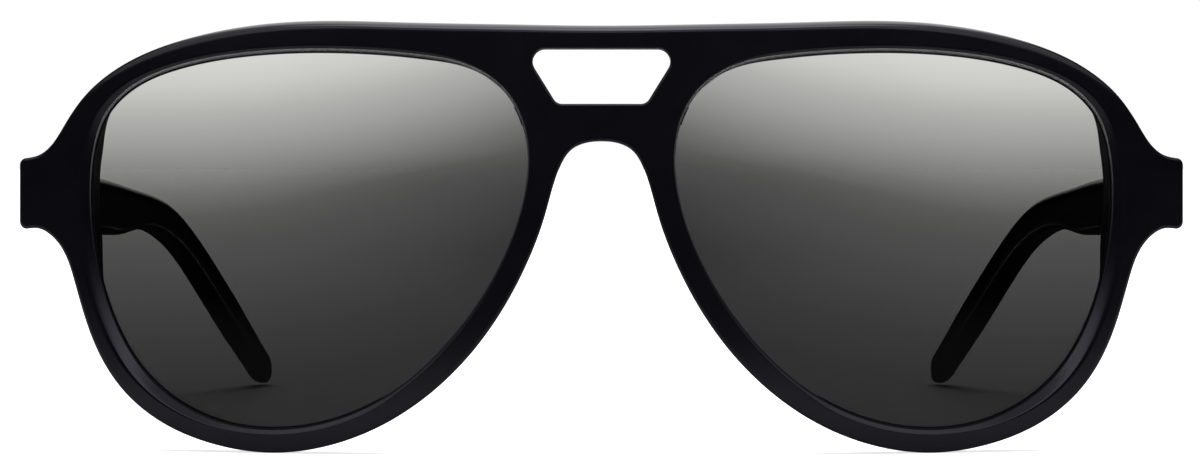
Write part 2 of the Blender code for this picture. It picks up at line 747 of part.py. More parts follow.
def main():
    for thing in list(bpy.data.objects):
        bpy.data.objects.remove(thing)
    acetate = material("black_acetate", ACETATE, ACETATE_ROUGHNESS)
    tint = material("grey_lens", LENS_GREY, LENS_ROUGHNESS, transmission=LENS_TRANSMISSION)
    steel = material("hinge_steel", STEEL, STEEL_ROUGHNESS, metallic=1.0)
    front_frame(acetate)
    for word, side in (("left", 1), ("right", -1)):
        lens(f"{word}_lens", tint, side)
        nose_pad(f"{word}_nose_pad", acetate, side)
        front_hinge_leaf(f"{word}_front_hinge_leaf", steel, side)
        temple_hinge_leaf(f"{word}_temple_hinge_leaf", steel, side)
        hinge_screw(f"{word}_hinge_screw", steel, side)
        temple(f"{word}_temple", acetate, side)
        core_wire(f"{word}_core_wire", steel, side)


main()
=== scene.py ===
"""Looks of the aviator sunglasses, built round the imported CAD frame.

The glasses stand open on a white table. The front looks towards -Y, the temples run back
towards +Y, +Z is up and the wearer's left is at +X. Sizes are in millimetres until a piece is
built. Depths are measured back from the foremost point of the bridge.
"""

import json
from math import atan2, cos, hypot, pi, radians, sin, sqrt, tan

import bmesh
import bpy
import numpy as np
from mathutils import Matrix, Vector
from mathutils.geometry import delaunay_2d_cdt


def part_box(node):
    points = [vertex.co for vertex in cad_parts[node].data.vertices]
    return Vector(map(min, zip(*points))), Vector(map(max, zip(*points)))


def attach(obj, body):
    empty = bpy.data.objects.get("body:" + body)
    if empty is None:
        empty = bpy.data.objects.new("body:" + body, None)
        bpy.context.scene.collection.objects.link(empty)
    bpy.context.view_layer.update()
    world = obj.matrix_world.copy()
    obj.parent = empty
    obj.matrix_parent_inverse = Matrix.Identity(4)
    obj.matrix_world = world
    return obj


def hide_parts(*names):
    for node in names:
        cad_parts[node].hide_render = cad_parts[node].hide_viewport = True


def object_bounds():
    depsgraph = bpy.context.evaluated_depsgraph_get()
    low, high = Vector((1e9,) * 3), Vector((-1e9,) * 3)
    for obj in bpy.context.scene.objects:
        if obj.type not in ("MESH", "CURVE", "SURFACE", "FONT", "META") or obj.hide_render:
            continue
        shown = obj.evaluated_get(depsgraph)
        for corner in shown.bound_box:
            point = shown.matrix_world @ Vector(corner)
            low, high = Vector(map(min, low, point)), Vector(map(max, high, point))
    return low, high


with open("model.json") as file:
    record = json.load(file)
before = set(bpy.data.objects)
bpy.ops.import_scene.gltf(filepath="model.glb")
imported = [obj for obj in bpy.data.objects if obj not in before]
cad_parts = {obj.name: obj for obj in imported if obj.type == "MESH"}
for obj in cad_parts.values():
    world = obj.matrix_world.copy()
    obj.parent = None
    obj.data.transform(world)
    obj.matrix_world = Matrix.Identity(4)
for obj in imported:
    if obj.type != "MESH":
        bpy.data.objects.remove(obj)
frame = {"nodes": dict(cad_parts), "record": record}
cad_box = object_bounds()

MM = 0.001

# Where the hinges are in the frame, and how far behind the bridge their axes lie
HINGES = {joint["name"]: Vector(joint["pos_m"]) / MM for joint in frame["record"]["behaviour"]["joints"]}
LEFT_HINGE = HINGES["left_temple_fold"]
AXIS_X = LEFT_HINGE.x
AXIS_DEPTH = 21.3
DEPTH_TO_Y = LEFT_HINGE.y - AXIS_DEPTH

# The front: a plate bent round the face, with a lug behind each end for the hinge
WRAP_RADIUS = 200.0
UPRIGHT_RADIUS = 300.0
LENS_MIDDLE = (35.5, 26.0)
PLATE_THICKNESS = 4.4
LUG_SIDE = 72.65
LUG_TOP = 36.25
LUG_BOTTOM = 27.4
LUG_CORNER = 0.9
LUG_BACK = 19.5
LUG_RAMP_X = (58.5, 61.5)
LUG_RAMP_Z = (4.6, 13.0)
ROUNDING_FRONT = 0.4
ROUNDING_BROW = 1.0
ROUNDING_BROW_DROP = 2.6
ROUNDING_BROW_HEIGHTS = (43.0, 50.0)
ROUNDING_BACK = 0.65

# Half of the front's outline, from the middle of the brow to the lug, and from the lug round
# the rim and up the side of the nose to the middle of the arch
BROW = [
    (0.0, 52.4), (13.0, 52.6), (24.0, 52.85), (33.5, 53.1), (43.0, 52.6), (51.0, 51.1),
    (58.5, 48.35), (63.6, 44.6), (66.8, 40.35), (68.7, 37.65), (70.2, 36.6), (71.75, 36.25),
]
RIM_AND_NOSE = [
    (71.75, 27.4), (70.2, 27.45), (68.6, 26.65), (67.1, 24.95), (65.6, 21.2), (63.1, 13.5),
    (59.5, 7.65), (53.5, 3.05), (47.0, 0.75), (41.0, 0.0), (35.0, 0.6), (28.0, 2.95),
    (20.5, 7.8), (13.5, 15.5), (9.3, 22.9), (6.9, 29.2), (5.65, 33.6), (4.95, 35.4),
    (3.75, 37.15), (2.1, 38.0), (0.0, 38.25),
]
WINDOW_CORNERS = [(9.6, 49.5), (5.45, 42.8), (-5.45, 42.8), (-9.6, 49.5)]
WINDOW_ROUNDING = [1.5, 1.2, 1.2, 1.5]
WINDOW_EDGE = 0.3

# One more ring this far past each rounded edge keeps the shading of the face beside it flat
GUARD = 0.2

# The lens opening at its narrow lip, and the bevel, lip and groove round it
LENS_OPENING = [
    (63.45, 32.0), (62.9, 37.7), (61.6, 41.35), (57.75, 45.15), (52.2, 47.4), (43.05, 48.95),
    (32.1, 49.25), (21.65, 48.45), (17.15, 47.55), (12.15, 44.6), (9.05, 37.5), (9.35, 31.9),
    (11.95, 24.05), (17.85, 14.8), (24.75, 8.2), (31.35, 4.65), (40.3, 2.95), (47.7, 4.0),
    (56.25, 9.45), (59.85, 14.9), (62.2, 21.55),
]
BEVEL_WIDE = 0.72
BEVEL_EXTRA = 1.15
BEVEL_NARROW = 0.42
BEVEL_NOSE_ANGLE = 186.0
BEVEL_NOSE_RANGE = (48.0, 66.0)
BEVEL_CORNER_ANGLE = -12.0
BEVEL_CORNER_RANGE = (16.0, 62.0)
BEVEL_SLOPE = 0.68
BEVEL_ROLL = 0.28
LIP_WALL_WIDTH = 0.33
LIP_WALL_NARROW = 0.15
LIP_TOP_ANGLE = 95.0
LIP_TOP_RANGE = (30.0, 75.0)
LIP_FOOT_SHARE = 0.08
LEDGE_WIDTH = 0.2
LEDGE_BRINK = 0.01
LEDGE_FLAT_SHARE = 0.9
LUG_DRAFT = 0.35
GROOVE_DEPTH = 0.8
GROOVE_PLAY = 0.04

# How far the lip's foot, the ledge's brink and its inner edge stand in front of the lens
LIP_AND_LEDGE_RISES = (0.18, 0.14, 0.1)

# Share of the way down the bevel, and polish there
BEVEL_STEPS = [
    (0.0, 0.0), (0.07, 0.5), (0.14, 1.0), (0.21, 0.8), (0.28, 0.5), (0.6, 0.2), (0.92, 0.2), (1.0, 1.0),
]

# The opening's soft edge at the back: width, drop from the back and polish
UNPOLISHED = -5.0
OPENING_BACK_EDGE = [(0.0, 0.35, UNPOLISHED), (0.1, 0.12, 1.0), (0.35, 0.0, 0.5)]

# Lenses
LENS_RADIUS = 132.0
LENS_SETBACK = 0.6
LENS_THICKNESS = 1.8
LENS_IN_GROOVE = 0.6
LENS_EDGE_SHOWS = 0.12
LENS_EDGE_FLAT = 0.1

# Nose pads, bonded behind the rims, and the part of the rim's outline that is beside the nose
PAD_HEIGHTS = (16.5, 32.0)
PAD_REACH = 5.8
PAD_BASE = 2.5
PAD_SPLAY = 0.4
PAD_INSET = 0.2
PAD_BOND = 0.1
PAD_NARROWING = 0.25
PAD_OUTLINE_POWER = 2.6
PAD_SECTION_POWER = 0.7
PAD_POLISH_LOSS = 0.6
PAD_END_ANGLE = 88
NOSE_FLANK = (30, 37)

# Hinges: five knuckles on one screw, three on the front's leaf and two on the temple's, with
# play between them and a margin for the tools that cut the bore and the slot
KNUCKLE_RADIUS = 1.6
KNUCKLE_HEIGHT = 1.2
KNUCKLE_PITCH = 1.35
KNUCKLE_BOTTOM = 28.5
KNUCKLE_CHAMFER = 0.14
TOP_KNUCKLE = 4
FRONT_KNUCKLES = (0, 2, 4)
TEMPLE_KNUCKLES = (1, 3)
SCREW_RADIUS = 0.72
SCREW_HOLE_RADIUS = 0.8
SCREW_TIP_CHAMFER = 0.2
SCREW_SLOT_WIDTH = 0.35
SCREW_SLOT_DEPTH = 0.32
SCREW_SLOT_REACH = 2
SCREW_HEAD_RADIUS = 1.3
SCREW_HEAD_PLAY = 0.04
CUT_MARGIN = 1
LEAF_PROUD = 0.07
LEAF_THICKNESS = 0.9
LEAF_EDGE = 0.12
FRONT_LEAF_X = (64.4, 68.2)
TEMPLE_LEAF_DEPTHS = (20.7, 29.8)
TEMPLE_LEAF_HEIGHTS = (29.4, 34.0)
TEMPLE_INNER = 68.6
WEB_HALF_WIDTH = 1.0
WEB_IN_LEAF = 0.4
WEB_PLAY = 0.04
WEB_EDGE = 0.08
TEMPLE_WEB_DEPTHS = (-0.4, 1.4)

# The screw's head: from its rim inwards and from its seat upwards
SCREW_HEAD = [(-0.1, 0.0), (0.0, 0.1), (0.0, 0.38), (-0.12, 0.52), (-0.35, 0.6), (-0.8, 0.65)]

# Temples, station by station: depth, middle x, middle height, blade height, thickness
TEMPLE_STATIONS = [
    (19.75, 70.6, 31.85, 8.9, 4.0),
    (31.0, 70.5, 30.75, 7.8, 4.0),
    (44.0, 69.3, 30.1, 7.4, 4.0),
    (55.0, 68.2, 29.75, 7.15, 3.95),
    (62.0, 67.45, 29.25, 7.05, 3.85),
    (69.0, 66.65, 29.1, 6.1, 3.8),
    (80.0, 65.25, 28.7, 4.9, 3.6),
    (91.0, 63.9, 27.25, 4.8, 3.5),
    (101.0, 62.6, 24.65, 4.7, 3.4),
    (115.0, 60.5, 19.0, 4.9, 3.45),
    (132.0, 57.65, 10.85, 4.95, 3.6),
    (149.2, 54.7, 2.55, 4.95, 3.65),
]
TIP_ROUNDING = 4.6
TIP_DROOP = 0.12
TIP_POWER = 2.2
TIP_ROUNDNESS = 0.49
TIP_ROUNDING_DEPTHS = (128.0, 147.0)
SECTION_ROUNDNESS = 0.3
TEMPLE_POLISH = 0.15
TIP_POLISH = 0.8

# The temple's soft edge at the butt: depth, how much smaller the section is, and polish
TEMPLE_BUTT = [(0.0, 0.4, 0.0), (0.06, 0.12, 1.0), (0.2, 0.0, 0.6)]

# How finely the surfaces are divided
SPAN_STEPS = 10
LENS_STEPS = 14
LENS_RINGS = 14
CORNER_STEPS = 8
FRONT_EDGE_RINGS = 10
BACK_EDGE_RINGS = 6
LUG_SIDE_POINTS = 12
WINDOW_SIDE_STEPS = 10
GRID_COARSE = 1.8
GRID_FINE = 0.6
GRID_CLEARANCE = 0.55
FINE_GRID_X = 59.5
FINE_GRID_REACH = 12.0
PAD_RINGS = 33
PAD_SECTION_POINTS = 28
ROUND_SIDES = 48
METAL_EDGE_SEGMENTS = 2
TEMPLE_STEPS = 9
SECTION_SIDE_STEPS = 5
TIP_ANGLES = range(8, 89, 8)
MERGE_DISTANCE = 1e-7

# Edges sharper than these angles, in degrees, stay crisp
SHARP_ANGLE = 40
SHARP_ON_LENS = 20
SHARP_ON_PAD = 60
SHARP_ON_METAL = 35

# Acetate: place and colour of the clouds, features per metre, and what each adds to the roughness
ACETATE_CLOUDS = [(0.35, (0.0018, 0.0015, 0.0029)), (0.7, (0.0031, 0.0027, 0.0048))]
ACETATE_GLOSS_TINT = (0.85, 0.82, 1.0, 1.0)
CLOUD_SCALE = 160.0
GRAIN_SCALE = 2600.0
HAZE_SCALE = 90.0
SCUFF_SCALE = 700.0
SCUFF_STRETCH = (1.0, 1.0, 9.0)
SCUFF_HEIGHT = 0.4
ACETATE_ROUGHNESS = 0.13
HAZE_ROUGHNESS = 0.10
GRAIN_ROUGHNESS = 0.05
POLISH_ROUGHNESS = -0.08
ACETATE_BUMP = (0.25, 0.000012)

# Steel: place and colour of the tarnish, features per metre, and what streaks add to the roughness
STEEL_TARNISH = [(0.3, (0.36, 0.35, 0.34)), (0.65, (0.58, 0.58, 0.58))]
TARNISH_SCALE = 500.0
STREAK_SCALE = 1500.0
STREAK_ROUGHNESS = 0.22
STEEL_BUMP = (0.3, 0.00001)

# The lens's shade from its lowest to its highest point, as (share of the height, brightness), and
# how much bluer than grey it is at the bottom, a painted cool reflection, and how much of that is gone
# at the top
LENS_TINT = [
    (0.0, 0.024), (0.12, 0.027), (0.25, 0.038), (0.38, 0.057), (0.50, 0.076), (0.56, 0.097),
    (0.62, 0.155), (0.68, 0.235), (0.75, 0.335), (0.82, 0.43), (0.90, 0.58), (1.0, 0.70),
]
LENS_BLUE_BELOW = 1.03
LENS_BLUE_LOSS = 0.08
LENS_GLOSS_TINT = (0.15, 0.15, 0.17, 1.0)

# How the shade droops, in metres: by the square of the way inwards from the start, and faster
# between the upper and the lower range of heights
DROOP_START_X = 0.054
DROOP = 4.1
DROOP_GROWTH = 2.6
DROOP_UPPER = (0.0375, 0.0315)
DROOP_LOWER = (0.018, 0.026)

# The backdrop is what the eye and the lenses see, and STUDIO_DIFFUSE is what lights dull surfaces.
# The other lights show in reflections only. A spread says where a light starts and where it is
# full, along one part of its direction or, for the soft boxes, the cosine to their middle.
BACKDROP = 1.03
BACKDROP_SPREAD = (-0.1, 0.1)
STUDIO_DIFFUSE = 0.15
STUDIO_FRONT = 0.05
STUDIO_FRONT_SPREAD = (-0.8, -0.98)
STUDIO_TOP = 0.5
STUDIO_TOP_SPREAD = (0.4, 0.85)
STUDIO_OVERHEAD = 2.4
STUDIO_OVERHEAD_SPREAD = (0.92, 0.985)
STUDIO_BACK = 0.9
STUDIO_BACK_SPREAD = (0.2, 0.8)
STUDIO_BACK_RISE = 2.0
STUDIO_BACK_NARROWING = -5.0
STUDIO_SIDE = 0.03
STUDIO_SIDE_SPREAD = (0.5, 0.95)
SOFTBOX = 0.55
SOFTBOX_DIRECTION = (0.57, -0.47, 0.67)
SOFTBOX_SPREAD = (0.89, 0.985)
STREAK = 1.3
STREAK_FRONT_SPREAD = (-0.86, -0.81)
STREAK_BACK_SPREAD = (-0.70, -0.75)
STREAK_HEIGHT_SPREAD = (0.2, 0.4)
KEY_STRENGTH = 3.12
KEY_ANGLE = 60

# The table, in metres. Reflections show it painted almost black as painted shade, with a painted
# grey apron of light in front of the glasses and a painted light strip behind the bridge.
FLOOR_REACH = 40.0
FLOOR_GAP = 0.00005
FLOOR_WHITE = 0.9
FLOOR_PAINTED_SHADE = 0.03
FLOOR_LIFT = 0.75
FLOOR_APRON = (-0.20, -0.09)
FLOOR_PAINTED_APRON = 0.34
FLOOR_STRIP = (-0.04, 0.02)
FLOOR_PAINTED_STRIP = 0.8
FLOOR_STRIP_SIDES = (0.035, 0.015)
FLOOR_STRIP_END = (0.16, 0.08)
FLOOR_BEHIND_LENS = (-0.09, -0.06)

# Camera, in metres, with its lens and sensor in millimetres
CAMERA_DISTANCE = 0.450
CAMERA_LENS = 111.3
CAMERA_SENSOR = 36.0
CAMERA_CLIP = 0.01
CAMERA_HEIGHT = 0.0352
CAMERA_AIM = 0.0270
CAMERA_SIDE = -0.00018


# Curves


def spline(knots, steps, closed=False, mirror_start=False, mirror_end=False):
    """Points on the cubic spline through knots, with the same number of steps in every span.

    A mirrored end continues in the mirror image about x = 0, so it crosses that line squarely.
    """
    knots = [np.array(knot, float) for knot in knots]
    # Neighbours beyond each end shape the curve there
    before, after = [], []
    if closed:
        before = knots[-4:]
        after = knots[:5]
    if mirror_start:
        before = [np.array((-knot[0], *knot[1:])) for knot in knots[3:0:-1]]
    if mirror_end:
        after = [np.array((-knot[0], *knot[1:])) for knot in knots[-2:-5:-1]]
    points = np.array(before + knots + after)
    chord = np.linalg.norm(np.diff(points, axis=0), axis=1)
    bend = spline_bend(points, chord)
    curve = []
    first = len(before)
    last = first + len(knots) - (0 if closed else 1)
    for span in range(first, last):
        for step in range(steps):
            curve.append(spline_point(points, chord, bend, span, step / steps))
    if not closed:
        curve.append(points[last])
    return np.array(curve)


def spline_bend(points, chord):
    """Second derivatives at the knots of the natural cubic spline."""
    count = len(points)
    matrix = np.eye(count)
    slopes = np.diff(points, axis=0) / chord[:, None]
    target = np.zeros_like(points)
    for i in range(1, count - 1):
        matrix[i, i - 1] = chord[i - 1]
        matrix[i, i] = 2 * (chord[i - 1] + chord[i])
        matrix[i, i + 1] = chord[i]
        target[i] = 6 * (slopes[i] - slopes[i - 1])
    return np.linalg.solve(matrix, target)


def spline_point(points, chord, bend, span, share):
    """The point that lies a share of the way along one span."""
    width = chord[span]
    near = 1 - share
    straight = near * points[span] + share * points[span + 1]
    curl = (near**3 - near) * bend[span] + (share**3 - share) * bend[span + 1]
    return straight + curl * width**2 / 6


def arc(centre, radius, start, end, steps):
    """Points on a circular arc, angles in degrees."""
    angles = np.radians(np.linspace(start, end, steps + 1))
    return np.column_stack([centre[0] + radius * np.cos(angles), centre[1] + radius * np.sin(angles)])


def rounded_polygon(corners, radii, steps, side_steps):
    """A closed polygon with each corner turned on its own radius and each side divided."""
    points = []
    for i, corner in enumerate(corners):
        corner = np.array(corner)
        back = np.array(corners[i - 1]) - corner
        ahead = np.array(corners[(i + 1) % len(corners)]) - corner
        back /= hypot(*back)
        ahead /= hypot(*ahead)
        half_angle = np.arccos(back @ ahead) / 2
        bisector = (back + ahead) / hypot(*(back + ahead))
        centre = corner + bisector * radii[i] / sin(half_angle)
        start = corner + back * radii[i] / tan(half_angle) - centre
        end = corner + ahead * radii[i] / tan(half_angle) - centre
        start_angle = atan2(start[1], start[0])
        turn = (atan2(end[1], end[0]) - start_angle + pi) % (2 * pi) - pi
        turned = []
        for step in range(steps + 1):
            angle = start_angle + turn * step / steps
            turned.append(centre + radii[i] * np.array((cos(angle), sin(angle))))
        points.append(np.array(turned))
    loop = []
    for i, turned in enumerate(points):
        following = points[(i + 1) % len(points)][0]
        loop.extend(turned)
        for step in range(1, side_steps):
            loop.append(turned[-1] + (following - turned[-1]) * step / side_steps)
    return np.array(loop)


def offset_loop(loop, distances):
    """Move a closed loop outwards by a distance, or by one distance for each point."""
    ahead = np.roll(loop, -1, axis=0) - loop
    ahead /= np.linalg.norm(ahead, axis=1)[:, None]
    along = ahead + np.roll(ahead, 1, axis=0)
    along /= np.linalg.norm(along, axis=1)[:, None]
    x, z = loop.T
    turns_left = np.sum(x * np.roll(z, -1) - np.roll(x, -1) * z) > 0
    outwards = np.column_stack([along[:, 1], -along[:, 0]]) * (1 if turns_left else -1)
    return loop + outwards * np.reshape(distances, (-1, 1))


def smoothstep(value, start, end):
    """0 before the start, 1 past the end and a soft rise between them."""
    share = np.clip((value - start) / (end - start), 0.0, 1.0)
    return share * share * (3 - 2 * share)


# Surfaces, as depth at a given x and height


def face_depth(x, z):
    """The front's outer face, bent round the wearer's face and a little from top to bottom."""
    return x**2 / (2 * WRAP_RADIUS) + (z - LENS_MIDDLE[1]) ** 2 / (2 * UPRIGHT_RADIUS)


def back_depth(x, z):
    """The front's back, which steps out to the flat back of the lug at each end."""
    plain = face_depth(x, z) + PLATE_THICKNESS
    return plain + np.maximum(LUG_BACK - plain, 0) * lug_share(x, z)


def lug_share(x, z):
    """1 where the lug has its full depth and 0 where the plate is plain."""
    lug_middle = (LUG_TOP + LUG_BOTTOM) / 2
    beside = smoothstep(np.abs(x), *LUG_RAMP_X)
    return beside * (1 - smoothstep(np.abs(z - lug_middle), *LUG_RAMP_Z))


def lens_depth(x, z):
    """A lens's front surface: a sphere square to the bent plate at the lens's middle."""
    middle_x, middle_z = LENS_MIDDLE
    slope = middle_x / WRAP_RADIUS
    length = hypot(slope, 1)
    centre_x = middle_x - LENS_RADIUS * slope / length
    centre_depth = face_depth(middle_x, middle_z) + LENS_SETBACK + LENS_RADIUS / length
    reach = LENS_RADIUS**2 - (np.abs(x) - centre_x) ** 2 - (z - middle_z) ** 2
    return centre_depth - np.sqrt(reach)


def bevel_lip_and_ledge(loop):
    """The bevel is widest at the outer lower corner. Beside the nose it narrows and the ledge ends.

    The lip's steep wall is widest at the top.
    """
    angle = np.degrees(np.arctan2(loop[:, 1] - LENS_MIDDLE[1], np.abs(loop[:, 0]) - LENS_MIDDLE[0]))
    from_nose = np.abs((angle - BEVEL_NOSE_ANGLE + 180) % 360 - 180)
    from_corner = np.abs((angle - BEVEL_CORNER_ANGLE + 180) % 360 - 180)
    wide = BEVEL_WIDE + BEVEL_EXTRA * (1 - smoothstep(from_corner, *BEVEL_CORNER_RANGE))
    clear = smoothstep(from_nose, *BEVEL_NOSE_RANGE)
    bevel = BEVEL_NARROW + (wide - BEVEL_NARROW) * clear
    from_top = np.abs((angle - LIP_TOP_ANGLE + 180) % 360 - 180)
    lip = LIP_WALL_WIDTH + (LIP_WALL_NARROW - LIP_WALL_WIDTH) * smoothstep(from_top, *LIP_TOP_RANGE)
    return bevel, lip, LEDGE_WIDTH * clear


# Meshes


class Shell:
    """A closed surface put together from rings of points. Coordinates are (x, depth, height).

    Every point carries a polish value, which the materials read: 1 on the rounded edges that
    handling polishes, 0 on the broad faces, and far less on the sawn wall behind each lens.
    """

    def __init__(self):
        self.points = []
        self.polish = []
        self.faces = []

    def ring(self, points, polish=0.0):
        """Add points and return their indices."""
        start = len(self.points)
        self.points.extend(tuple(float(value) for value in point) for point in points)
        self.polish.extend([polish] * (len(self.points) - start))
        return list(range(start, len(self.points)))

    def ring_on(self, loop, surface, shift=0.0, polish=0.0):
        """A ring above a flat (x, z) loop, on a depth surface."""
        depths = surface(loop[:, 0], loop[:, 1]) + shift
        return self.ring(np.column_stack([loop[:, 0], depths, loop[:, 1]]), polish)

    def bridge(self, first, second):
        """Faces between two rings."""
        for i in range(len(first)):
            j = (i + 1) % len(first)
            self.faces.append((first[i], first[j], second[j], second[i]))

    def sleeve(self, rings):
        """Faces along a row of rings."""
        for first, second in zip(rings, rings[1:]):
            self.bridge(first, second)

    def cap(self, ring):
        """One face that closes a ring."""
        self.faces.append(tuple(ring))

    def fill(self, rings, surface, fine=None):
        """Fill the area between rings with triangles that follow a depth surface."""
        loops = [np.array([self.points[i] for i in ring])[:, [0, 2]] for ring in rings]
        border = [index for ring in rings for index in ring]
        edges = []
        start = 0
        for ring in rings:
            count = len(ring)
            edges += [(start + i, start + (i + 1) % count) for i in range(count)]
            start += count
        grid = np.array(list(grid_points(loops, fine)))
        flat = np.concatenate([*loops, grid])
        index = border + self.ring_on(grid, surface)
        spots, _, triangles, origins, _, _ = delaunay_2d_cdt(
            [tuple(spot) for spot in flat], edges, [], 0, MERGE_DISTANCE)
        middles = np.array([[spots[i] for i in triangle] for triangle in triangles]).mean(axis=1)
        for triangle, keep in zip(triangles, inside(loops, middles)):
            if keep:
                self.faces.append(tuple(index[origins[i][0]] for i in triangle))

    def build(self, name, side=1, sharp=SHARP_ANGLE):
        """Make the object. Side -1 builds the mirror image, for the wearer's right."""
        mesh = bpy.data.meshes.new(name)
        corners = [(side * x * MM, (depth + DEPTH_TO_Y) * MM, z * MM) for x, depth, z in self.points]
        mesh.from_pydata(corners, [], self.faces)
        polish = mesh.attributes.new("polish", "FLOAT", "POINT")
        polish.data.foreach_set("value", self.polish)
        work = bmesh.new()
        work.from_mesh(mesh)
        bmesh.ops.recalc_face_normals(work, faces=work.faces)
        work.to_mesh(mesh)
        work.free()
        mesh.shade_smooth()
        mesh.set_sharp_from_angle(angle=radians(sharp))
        piece = bpy.data.objects.new(name, mesh)
        bpy.context.collection.objects.link(piece)
        return piece


def grid_points(loops, fine):
    """Points of a square grid between the loops, closer together in the fine zone."""
    everything = np.concatenate(loops)
    low, high = everything.min(axis=0), everything.max(axis=0)
    for spacing, wanted in ((GRID_COARSE, False), (GRID_FINE, True)):
        if wanted and fine is None:
            continue
        x, z = np.meshgrid(np.arange(low[0], high[0], spacing), np.arange(low[1], high[1], spacing))
        spots = np.column_stack([x.ravel(), z.ravel()])
        if fine is not None:
            spots = spots[fine(spots[:, 0], spots[:, 1]) == wanted]
        spots = spots[inside(loops, spots)]
        for spot in spots:
            if np.min(np.hypot(*(everything - spot).T)) > spacing * GRID_CLEARANCE:
                yield spot


def inside(loops, spots):
    """Which spots lie inside the first loop and outside the holes."""
    crossings = np.zeros(len(spots), int)
    for loop in loops:
        following = np.roll(loop, -1, axis=0)
        for (x, z), (next_x, next_z) in zip(loop, following):
            if z == next_z:
                continue
            spans = (z > spots[:, 1]) != (next_z > spots[:, 1])
            cut = x + (spots[:, 1] - z) / (next_z - z) * (next_x - x)
            crossings += spans & (spots[:, 0] < cut)
    return crossings % 2 == 1


def block(x_range, depth_range, z_range):
    """A plain block."""
    shell = Shell()
    rings = []
    for z in z_range:
        rings.append(shell.ring([
            (x_range[0], depth_range[0], z), (x_range[1], depth_range[0], z),
            (x_range[1], depth_range[1], z), (x_range[0], depth_range[1], z)]))
    shell.sleeve(rings)
    shell.cap(rings[0])
    shell.cap(rings[-1])
    return shell


def turned(profile):
    """A body turned about the hinge's axis from (radius, height) pairs."""
    shell = Shell()
    rings = []
    for radius, z in profile:
        circle = arc((AXIS_X, AXIS_DEPTH), radius, 0, 360, ROUND_SIDES)[:-1]
        rings.append(shell.ring([(x, depth, z) for x, depth in circle]))
    shell.sleeve(rings)
    shell.cap(rings[0])
    shell.cap(rings[-1])
    return shell


def apply_modifiers(piece):
    """Turn a piece with modifiers into a plain mesh."""
    graph = bpy.context.evaluated_depsgraph_get()
    result = bpy.data.meshes.new_from_object(piece.evaluated_get(graph))
    piece.modifiers.clear()
    piece.data = result


def bevelled(piece, width):
    """Round the edges of a small metal body."""
    bevel = piece.modifiers.new("edges", "BEVEL")
    bevel.width = width * MM
    bevel.segments = METAL_EDGE_SEGMENTS
    bevel.limit_method = "ANGLE"
    apply_modifiers(piece)
    return piece


def combine(piece, tool, operation):
    """Join a tool to a piece, or cut it away, and delete the tool."""
    step = piece.modifiers.new(operation, "BOOLEAN")
    step.operation = operation
    step.solver = "EXACT"
    step.object = tool
    apply_modifiers(piece)
    piece.data.set_sharp_from_angle(angle=radians(SHARP_ON_METAL))
    bpy.data.objects.remove(tool)


# Pieces


def front_outline():
    """The whole outline of the front, anticlockwise from the middle of the brow."""
    brow = spline(BROW, SPAN_STEPS, mirror_start=True)
    corner_x = LUG_SIDE - LUG_CORNER
    top = arc((corner_x, LUG_TOP - LUG_CORNER), LUG_CORNER, 90, 0, CORNER_STEPS)
    bottom = arc((corner_x, LUG_BOTTOM + LUG_CORNER), LUG_CORNER, 0, -90, CORNER_STEPS)
    side = np.linspace(top[-1], bottom[0], LUG_SIDE_POINTS)[1:-1]
    rim = spline(RIM_AND_NOSE, SPAN_STEPS, mirror_end=True)
    half = np.concatenate([brow, top[1:], side, bottom, rim[1:]])
    half[:, 1] = np.maximum(half[:, 1], 0.0)
    other = half[-2:0:-1] * (-1, 1)
    return np.concatenate([half, other])[::-1]


def lens_loop(side=1):
    """The edge of the lens opening at its narrow lip."""
    return spline(LENS_OPENING, LENS_STEPS, closed=True) * (side, 1)


def edge_rings(shell, loop, front_width, front_drop, back_radius, outwards=-1):
    """Rings from the front face over a rounded edge, across the side and over to the back."""
    rings = [shell.ring_on(offset_loop(loop, outwards * (front_width + GUARD)), face_depth)]
    for angle in np.radians(np.linspace(0, 90, FRONT_EDGE_RINGS)):
        inset = front_width * (1 - sin(angle))
        drop = front_drop * (1 - cos(angle))
        ring = offset_loop(loop, outwards * inset)
        depths = face_depth(ring[:, 0], ring[:, 1]) + drop
        points = np.column_stack([ring[:, 0], depths, ring[:, 1]])
        rings.append(shell.ring(points, polish=sin(2 * angle)))
    for angle in np.radians(np.linspace(90, 0, BACK_EDGE_RINGS)):
        inset = back_radius * (1 - sin(angle))
        rise = back_radius * (1 - cos(angle))
        ring = offset_loop(loop, outwards * inset)
        depths = back_depth(ring[:, 0], ring[:, 1]) - rise
        points = np.column_stack([ring[:, 0], depths, ring[:, 1]])
        rings.append(shell.ring(points, polish=sin(2 * angle)))
    rings.append(shell.ring_on(offset_loop(loop, outwards * (back_radius + GUARD)), back_depth))
    shell.sleeve(rings)
    return rings[0], rings[-1]


